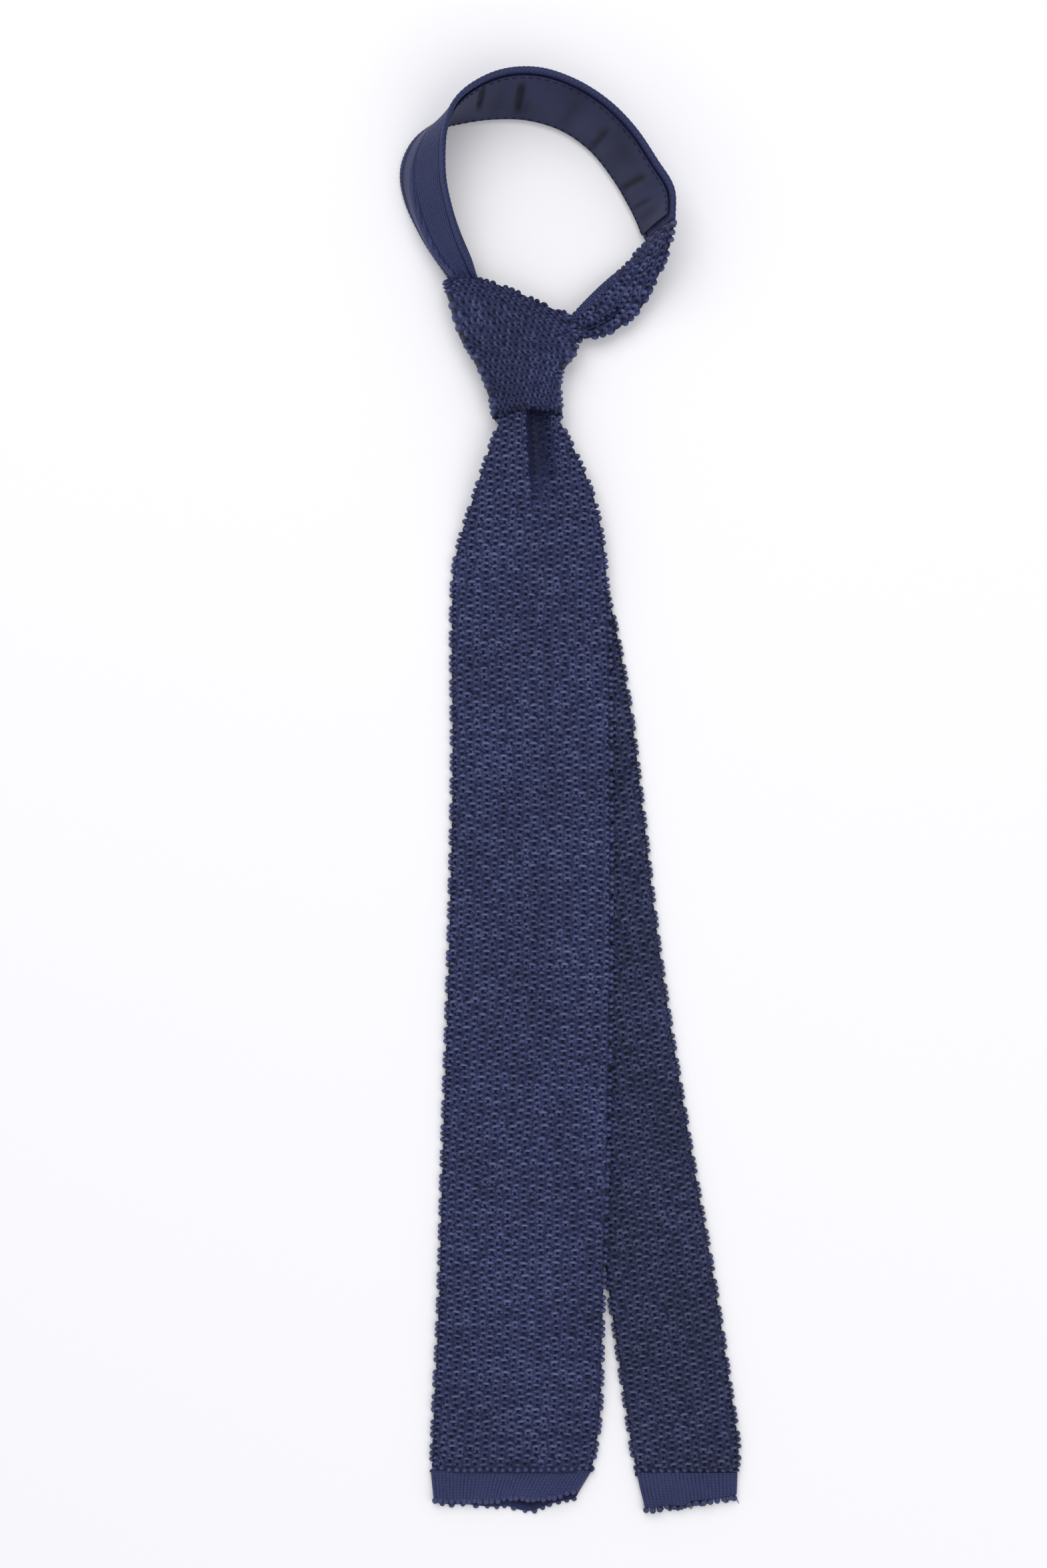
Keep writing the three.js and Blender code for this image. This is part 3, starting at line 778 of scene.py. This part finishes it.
def tail_blade():
    inside = lambda x, y, left, right: lerp(KNIT / 2, TAIL_HEIGHT, ease(y, *TAIL_CLIMB))
    lean = lambda y: TAIL_SLOPE * lerp(1.0, 0.35, ease(-y, 180, 262))
    surface = blade_surface(TAIL_BLADE, TAIL_TOP, TAIL_BOTTOM, inside, lean)
    wales = lambda fabric: TAIL_WALES * (fabric.width / fabric.width.max())[:, None] ** 0.7
    pattern = crunch_pattern(7, wales, pitch=2.44, last_row=last_bumps(TAIL_BOTTOM),
                             bead=1.15, inset=0.4)

    def swell(fabric):
        x, y = fabric.xy()
        uneven = 0.25 * waves(x, y, 23, 35, 110) * (y < 60)
        fabric.points[..., 2] += np.clip(fabric.lift, 0, 1) * uneven
        squeeze = (KNIT - INNER) / 2 * ease(y, *TAIL_CLIMB)
        fabric.points[..., 2] -= fabric.lift * squeeze
    piece = ribbon("tail_blade_knit", surface, BLADE_RINGS, KNIT, pattern, BLADE_STEP,
                   shape=swell)
    dress(piece, SHADED_TAIL_CRUNCH)
    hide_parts("tail_blade", "tail_throat")
    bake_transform(piece)
    return piece


# -------- the hems
HEM_WALE = 1.53
HEM_COURSE = 1.08
HEM_RELIEF = 0.42
HEM_THICK = 2.9
HEM_REST = 0.08  # of its underside over the table
HEM_RINGS = 62


def mouth_at(mouth, s, lift):
    """A point of a hem's mouth: x, and y between its upper and its lower layer."""
    rows = curve(mouth, np.linspace(0, 1, 200))
    x = lerp(rows[0, 0], rows[-1, 0], s)
    upper = np.interp(x, rows[:, 0], rows[:, 1])
    lower = np.interp(x, rows[:, 0], rows[:, 2])
    return x, lerp(upper, lower, (1 - lift) / 2)


def hem(name, top, mouth, gape, seed, lean=0.0):
    """A plain knit tube pressed flat and open at its mouth. top is y, left x and
    right x of its upper end; gape(s) is how far its mouth opens; lean slants the
    columns of its right half."""
    top_y, left, right = top
    width = np.array([right - left])
    across, lift = section(width, HEM_THICK, 0.22, 0.5)
    across, lift = across[0], lift[0]
    s = across / width[0]
    end_x, end_y = mouth_at(mouth, s - 4 * lean * s * s * (1 - s), lift)
    v = np.linspace(0, 1, HEM_RINGS)[:, None]
    x = lerp(left + across, end_x, v)
    y = lerp(top_y, end_y, v)
    thick = lerp(HEM_THICK, HEM_THICK + gape(s), v ** 2)
    z = HEM_REST + thick / 2 * (1 + lift)
    plain = np.stack([x, y, z], -1)
    out = out_of(plain)
    wales = round(width[0] / HEM_WALE)
    down = (top_y - y) + 0.25 * np.sin(x / 5 + seed)
    stitch = jersey(s * wales + 0.12 * waves(x, y, seed, 10, 40), down, 1.0, HEM_COURSE)
    stitch = lerp(stitch, 0.75, ease(np.abs(v - 1), 0.05, 0.0) * 0.5)
    outer = plain - out * (HEM_RELIEF * (1 - stitch))[..., None]
    lip = outer[-1:] - out[-1:] * 0.4 + np.array([0, -0.3, 0])
    inner = (plain - out * 0.85)[::-4][:11]  # the tube's inside, back from its lip
    rings = np.concatenate([outer, lip, inner])
    # The lip and the tube's inside are given low values: painted shade inside the open mouth.
    inside_shade = np.array([0.7, 0.6, 0.5, 0.2] + [0.0] * (len(inner) - 3))
    stitch = np.concatenate([stitch, np.outer(inside_shade, np.ones(len(s)))])
    rings[..., 2] = np.maximum(rings[..., 2], LOWEST)
    piece = closed_tube(name, rings, stitch)
    return dress(piece, JERSEY_SILK)


def front_gape(s):
    return 0.5 + 1.7 * ease(s, 0.4, 0.8) * (1 - 0.6 * ease(s, 0.93, 1.0))


def tail_gape(s):
    return np.full(s.shape, 0.25)


def picots(name, mouth, gape, upper_pitch, lower_pitch, seed, size=1.12, drop=0.35):
    """The beads that a hem's mouth ends in, along its upper and its lower layer."""
    rng = np.random.default_rng(seed)
    places, sizes = [], []
    for lift, pitch in ((1.0, upper_pitch), (-1.0, lower_pitch)):
        left, right = mouth[0][0], mouth[-1][0]
        x = left + 0.9
        while x < right - 0.5:
            s = np.array([(x - left) / (right - left)])
            _, y = mouth_at(mouth, s, np.array([lift]))
            big = size * rng.uniform(0.82, 1.14)
            z = HEM_REST + (HEM_THICK + gape(s)[0]) / 2 * (1 + lift) - 0.45 * lift
            places.append([x, y[0] - drop * big + rng.uniform(-0.25, 0.25), max(z, 0.8)])
            sizes.append([big * 1.02, big * 0.95, 0.78 * big])
            x += rng.uniform(*pitch)
    return balls(name, places, sizes, seed)


def hems():
    front = hem("front_hem_knit", (-263.4, -55.2, 8.5), FRONT_MOUTH, front_gape, 31, 0.045)
    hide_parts("front_hem")
    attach(front, "front_blade")
    edge = picots("front_edge_picots", FRONT_MOUTH, front_gape, (1.9, 2.7), (2.4, 5.2), 41)
    dress(edge, CRUNCH)
    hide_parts("front_edge")
    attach(edge, "front_blade")
    tail = hem("tail_hem_knit", (-264.2, 25.3, 65.3), TAIL_MOUTH, tail_gape, 33)
    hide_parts("tail_hem")
    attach(tail, "tail")
    edge = picots("tail_edge_picots", TAIL_MOUTH, tail_gape, (2.6, 3.0), (2.7, 3.6), 43,
                  size=1.2, drop=0.95)
    dress(edge, CRUNCH)
    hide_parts("tail_edge")
    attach(edge, "tail")
    loops = strands("tail_loose_yarn", [
        [[64.2, -273.5, 2.2], [64.7, -274.6, 1.6], [65.3, -275.6, 0.9], [65.8, -276.7, 0.5]],
        [[45.3, -276.2, 1.4], [46.3, -277.9, 0.9], [47.0, -278.7, 0.7], [47.6, -277.8, 0.9],
         [47.9, -276.4, 1.4]],
    ], 0.2)
    dress(loops, CRUNCH)
    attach(loops, "tail")
    return front, tail


# -------- the knot
MOUTH_RISE = 3.2  # of the middle of the knot's lower edge over its corners
NARROW_WALES = 7.0  # columns across the knot's inner turns and the right leg
KNOT_TOP, KNOT_FOOT, KNOT_CROWN = 11.6, 3.9, 2.0  # heights of the wrap's walls and crown
SHOULDER = 2.6  # how round the corners are between them
LEG_EXIT_Y = 176.0  # the right wall stands free below the leg, from here down


def soft_corner(x):
    """x where it is above zero and zero below, rounded where they meet."""
    return (x + np.sqrt(x * x + SHOULDER * SHOULDER)) / 2


def knot_edges(t):
    return curve(KNOT_LEFT, t), curve(KNOT_RIGHT, t)


def top_bow(share):
    return TOP_EDGE_BOW * np.sin(pi * np.clip(share, 0, 1) ** 0.65)


def front_wrap_surface(u, s):
    """Round the front of the knot: u from the left side's foot over the crown to the
    right side's foot, s from the mouth up to the top edge."""
    shape = np.broadcast(u, s).shape
    t = np.broadcast_to(1 - s, shape)
    left, right = knot_edges(t)
    leg_gone = ease(LEG_EXIT_Y - right[..., 1], 0, 8)
    left_wall = KNOT_TOP - KNOT_FOOT
    right_wall = lerp(0.4, left_wall, leg_gone)
    across = right[..., 0] - left[..., 0] - WRAP
    place = u * (left_wall + across + right_wall)
    past_left = soft_corner(place - left_wall)
    past_right = soft_corner(place - left_wall - across)
    share = np.clip((past_left - past_right) / across, 0, 1)
    x = left[..., 0] + WRAP / 2 + past_left - past_right
    crown = KNOT_CROWN * np.sin(pi * share) ** 1.4
    z = KNOT_TOP - soft_corner(left_wall - place) - past_right + crown
    arc = MOUTH_RISE * t ** 4 * np.sin(pi * share) ** 0.5
    y = lerp(left[..., 1], right[..., 1], share) + (1 - t) ** 2 * top_bow(share) + arc
    return np.stack([x, y, z], -1)


def back_wrap_surface(u, s):
    shape = np.broadcast(u, s).shape
    left, right = knot_edges(np.broadcast_to(1 - s, shape))
    x = lerp(left[..., 0] + 1.4, right[..., 0] - 1.4, u)
    y = lerp(left[..., 1], right[..., 1], u) - 0.6
    return np.stack([x, y, np.full(shape, WRAP / 2 + 0.1)], -1)


# The turn over the knot's top edge: [y from that edge, z]
OVER_TURN = [
    [-11.9, 9.0], [-5.0, 9.0], [-2.6, 8.7], [-1.8, 7.6], [-2.6, 6.5], [-4.4, 6.2], [-6.2, 6.2],
]


def over_turn_surface(u, s):
    shape = np.broadcast(u, s).shape
    inset = curve(OVER_TURN, np.broadcast_to(u, shape))
    x = np.broadcast_to(lerp(-27.5, -9.0, s), shape)
    (left_x, left_y), (right_x, right_y) = KNOT_LEFT[0], KNOT_RIGHT[0]
    share = (x - left_x) / (right_x - left_x)
    y = lerp(left_y, right_y, share) + top_bow(share) + inset[..., 0]
    return np.stack([x, y, inset[..., 1]], -1)


def knot():
    wrap_wales = lambda fabric: lerp(22.0, 18.0, fabric.u)
    knit = crunch_pattern(51, wrap_wales, pitch=2.35, relief=1.0, bead=1.1, uneven=1.2,
                          shade=0.55, inset=0.4, bars=False)

    def beaded_sides(fabric):
        stitch, push = knit(fabric)
        flat = np.abs(fabric.normal[..., 2])
        side = ease(flat, 0.12, 0.3) * (1 - ease(flat, 0.62, 0.9))
        beads = edge_beads(fabric.s * 19.5 + 3 * (fabric.u > 0.5), 0 * stitch, 59)
        stitch = 0.86 * lerp(stitch, 0.9 * beads, 0.85 * side)
        return stitch, lerp(push, 2.1 * beads - 1.0, side)
    front = ribbon("knot_front_wrap_knit", front_wrap_surface, 240, WRAP, beaded_sides,
                   0.29, 0.8)
    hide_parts("knot_front_wrap")
    back = ribbon("knot_back_wrap_knit", back_wrap_surface, 90, WRAP,
                  crunch_pattern(53, wrap_wales, pitch=2.3, relief=0.7, bead=0.1), 0.7, 0.5)
    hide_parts("knot_back_wrap")
    turn = ribbon("knot_over_turn_knit", over_turn_surface, 60, INNER,
                  crunch_pattern(55, NARROW_WALES, relief=0.6, bead=0.1), 0.5, 0.8)
    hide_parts("knot_over_turn")
    throat_path = strip([[-27.0, 187.0, 9.0], [-27.0, 172.0, 9.0], [-26.0, 156.0, 9.0]],
                        [[-9.0, 180.0, 9.0], [-8.2, 170.0, 9.0], [-7.4, 156.0, 9.0]])
    throat = ribbon("blade_throat_knit", throat_path, 60, INNER,
                    crunch_pattern(57, NARROW_WALES, relief=0.6, bead=0.1), 0.6, 0.9)
    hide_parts("blade_throat")
    for piece in (front, back, turn, throat):
        dress(piece, CRUNCH)
        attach(piece, "knot")
    return front, back, turn, throat


def with_loop(piece):
    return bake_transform(piece)


BAND_CREASE, BAND_TENT = 0.66, 4.6  # the crease's share across the band, and its height


def band_bulge(u, s):
    """The left leg is creased along its length, nearer its outer edge."""
    leg = ease(TWIST - u, 0, 0.7 * TWIST) * ease(u, -0.1, 0.08)
    outer = np.clip((1 - s) / (1 - BAND_CREASE), 0, 1) ** 0.85
    inner = np.clip(s / BAND_CREASE, 0, 1) ** 1.6
    tent = np.where(s < BAND_CREASE, 0.35 + 0.65 * inner ** 2.2, outer)
    fold = 1.5 * np.exp(-((s - BAND_CREASE + 0.06) / 0.04) ** 2)
    near = ease(s, 0.0, 0.3)
    return lerp(-0.3, JERSEY / 2, leg) + leg * (BAND_TENT * tent * near - fold) + 0 * u


# Creases in the lining: [place along the band, lean, half width, depth, from, to]. The
# last two are shares across it. The first are tucks, and the others soft folds where
# the arch turns down.
CREASES = [
    [0.557, 0.004, 0.0048, 1.7, -0.1, 0.75], [0.626, 0.004, 0.0065, 1.5, 0.0, 0.95],
    [0.590, 0.0, 0.014, 0.2, 0.0, 1.0], [0.640, 0.0, 0.005, 0.35, 0.3, 1.0],
    [0.712, -0.02, 0.012, 0.4, 0.0, 1.0], [0.776, -0.034, 0.0075, 0.9, 0.1, 1.05],
    [0.792, -0.034, 0.008, -0.3, 0.1, 1.0], [0.826, -0.03, 0.02, 0.3, 0.0, 1.0],
    [0.876, -0.038, 0.008, 1.1, 0.05, 1.05], [0.892, -0.038, 0.008, -0.3, 0.05, 1.0],
    [0.925, -0.03, 0.007, 0.7, 0.2, 1.05], [0.955, -0.02, 0.012, 0.4, 0.1, 1.0],
]
LINING_FROM, LINING_TO = 0.10, 0.975
LINING_OFF = 1.9  # from the knit's middle to the lining's
STITCH_PITCH, STITCH_LENGTH = 0.0135, 0.0075  # of the running stitches, along the band
STITCH_RADIUS = 0.2


def lining_crease(u, s):
    """How deep the lining's creases are. Below zero it puffs up beside a fold."""
    deep = 0
    for at, lean, wide, tall, start, end in CREASES:
        middle = at + lean * (s - 0.5)
        reach = ease(s, start, start + 0.35) * (1 - ease(s, end - 0.35, end))
        deep = deep + tall * reach * np.exp(-((u - middle) / wide) ** 2)
    return deep


def lining_surface(extra=0.0):
    def stand_off(u, s):
        share = (s - LINING_FROM) / (LINING_TO - LINING_FROM)
        puff = 0.35 * np.sin(pi * np.clip(share, 0, 1))
        sunk = 0.75 * np.clip(lining_crease(u, share), -0.6, 1.2)
        return -(LINING_OFF + extra + puff - sunk)
    return strip(UPPER_RIM, LOWER_RIM, stand_off)


def neckband():
    band = ribbon("neckband_knit", strip(UPPER_RIM, LOWER_RIM, band_bulge), 800, JERSEY,
                  jersey_pattern(61, 1.15, 0.95, 0.42, rim=0.5), 0.24, 0.8, span=(0, 0.998))
    dress(band, BAND_SILK)
    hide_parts("neckband_left_leg", "neckband_arch")
    with_loop(band)
    base = lining_surface()
    inside = lambda u, s: base(u, lerp(LINING_FROM, LINING_TO, s))
    # The lining's value drops in its creases: painted shade, which its material reads.
    plain = lambda fabric: (1 - 0.75 * np.clip(lining_crease(fabric.u, fabric.s), 0, 1),
                            np.zeros(fabric.s.shape))
    lining = ribbon("neckband_lining_satin", inside, 560, 0.5, plain, 0.6, 0.6,
                    span=(0.06, 0.985))
    dress(lining, LINING)
    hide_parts("left_leg_lining", "neckband_lining")
    with_loop(lining)
    over = lining_surface(0.42)
    starts = np.arange(TWIST + 0.015, LINING_TO, STITCH_PITCH)
    for name, at in (("lining_stitch_upper", 0.125), ("lining_stitch_lower", 0.95)):
        paths = [over(np.linspace(u, u + STITCH_LENGTH, 5), np.full(5, at)) for u in starts]
        stitches = strands(name + "_thread", paths, STITCH_RADIUS, 6)
        dress(stitches, THREAD)
        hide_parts(name)
        with_loop(stitches)
    return band, lining


# The leg's folds go on inside the knot, as its first cross: [x, y, z]
FIRST_CROSS_TOP = [
    [-0.6, 188.6, 8.2], [-10.0, 187.0, 6.8], [-24.0, 186.6, 6.3], [-36.5, 185.0, 6.3],
]
FIRST_CROSS_BOTTOM = [
    [4.2, 178.4, 6.4], [-8.0, 172.4, 6.3], [-22.0, 170.4, 6.3], [-33.0, 172.5, 6.3],
]


LEG_THICK = 2.8
LEG_FULL, LEG_VALLEY = 3.2, 3.4  # the height of its swell and the depth of its valley


def leg_bulge(u, s):
    """The leg is folded: full in its middle, with a valley along it by the knot."""
    full = LEG_FULL * ease(u, 0, 0.4) * (1 - ease(u, 0.52, 0.68)) * np.sin(pi * s)
    valley = ease(u, 0.25, 0.5) * (1 - ease(u, 0.62, 0.7))
    return full - LEG_VALLEY * valley * np.exp(-((s - 0.64) / 0.14) ** 2)


def right_leg():
    path = strip(LEG_INNER[:-1] + FIRST_CROSS_TOP, LEG_OUTER[:-1] + FIRST_CROSS_BOTTOM, leg_bulge)
    coarse = crunch_pattern(71, NARROW_WALES, pitch=2.5, relief=1.2, bead=0.85, inset=0.2,
                            uneven=1.2, bars=False)

    def pattern(fabric):
        stitch, push = coarse(fabric)
        fine = dotted(fabric.along, fabric.across, 1.3, 1.2)
        strip_here = (1 - ease(fabric.across, 2.6, 4.0)) * ease(fabric.u, 0.16, 0.34)
        stitch = lerp(stitch, 0.62 * fine, strip_here)
        return stitch, lerp(push, -0.5 * (1 - fine), strip_here)
    leg = ribbon("right_leg_knit", path, 300, LEG_THICK, pattern, 0.3, 0.7)
    dress(leg, CRUNCH)
    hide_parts("right_leg", "knot_first_cross")
    with_loop(leg)
    seam_path = strip([UPPER_RIM[-1], LEG_OUTER[0]], [LOWER_RIM[-1], LEG_INNER[0]])
    seam = ribbon("neckband_seam_knit", seam_path, 14, 2.6,
                  crunch_pattern(73, NARROW_WALES, pitch=2.2, relief=0.8), 0.4, 0.8)
    dress(seam, CRUNCH)
    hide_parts("neckband_seam")
    with_loop(seam)
    return leg, seam


# -------- the keeper
def keeper():
    """The loop for the tail on the back of the front blade, and its two tacks."""
    low, high = (np.array(corner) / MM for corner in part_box("keeper_loop"))
    z = (low[2] + high[2]) / 2
    path = strip([[low[0], low[1], z], [high[0], low[1], z]],
                 [[low[0], high[1], z], [high[0], high[1], z]])
    loop = ribbon("keeper_loop_knit", path, 100, 0.7,
                  jersey_pattern(81, 1.0, 0.9, 0.1), 0.25, 0.4)
    dress(loop, JERSEY_SILK)
    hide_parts("keeper_loop")
    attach(loop, "front_blade")
    for name in ("keeper_tack_left", "keeper_tack_right"):
        low, high = (np.array(corner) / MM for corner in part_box(name))
        paths = []
        for y in np.linspace(low[1] + 0.3, high[1] - 0.3, 14):
            a, b = [low[0], y, z], [high[0], y + 0.3, z]
            paths.append([a, [(a[0] + b[0]) / 2, y + 0.15, z + 0.15], b])
        tack = strands(name + "_thread", paths, 0.26, 6)
        dress(tack, THREAD)
        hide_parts(name)
        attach(tack, "front_blade")
    return loop


# -------- stage
PAPER = (0.93, 0.925, 0.95, 1)
SKY, SKY_STRENGTH = (0.97, 0.98, 1.0, 1), 0.64


def add_floor():
    bpy.ops.mesh.primitive_plane_add(size=6)
    floor = bpy.context.object
    floor.name = "floor"

    def build(tree, shader):
        shader.inputs["Base Color"].default_value = PAPER
        shader.inputs["Roughness"].default_value = 0.9
        shader.inputs["Specular IOR Level"].default_value = 0.1
    floor.data.materials.append(material("floor_paper", build))


def add_light(name, place, size, power):
    """A square soft light, aimed at the origin."""
    data = bpy.data.lights.new(name, "AREA")
    data.shape = "SQUARE"
    data.size = size
    data.energy = power
    lamp = bpy.data.objects.new(name, data)
    lamp.location = place
    lamp.rotation_euler = (-lamp.location).to_track_quat("-Z", "Y").to_euler()
    bpy.context.scene.collection.objects.link(lamp)


def add_camera():
    data = bpy.data.cameras.new("camera")
    data.sensor_fit = "VERTICAL"
    data.sensor_height = SENSOR
    data.lens = SENSOR * CAMERA_HEIGHT / FRAME_HEIGHT
    camera = bpy.data.objects.new("camera", data)
    camera.location = (CAMERA_X * MM, CAMERA_Y * MM, CAMERA_HEIGHT * MM)
    bpy.context.scene.collection.objects.link(camera)
    bpy.context.scene.camera = camera


def add_stage():
    add_floor()
    add_light("top_softbox", (-0.35, 1.2, 1.65), size=1.6, power=18)
    add_light("low_softbox", (0.9, -0.8, 1.7), size=1.7, power=10)
    world = bpy.data.worlds.new("studio")
    world.use_nodes = True
    background = world.node_tree.nodes["Background"]
    background.inputs["Color"].default_value = SKY
    background.inputs["Strength"].default_value = SKY_STRENGTH
    bpy.context.scene.world = world
    bpy.context.scene.view_settings.view_transform = "Standard"


add_camera()
add_stage()
front = front_blade()
tail = tail_blade()
front_hem, tail_hem = hems()
wrap, back_wrap, over_turn, throat = knot()
band, lining = neckband()
leg, seam = right_leg()
loop = keeper()
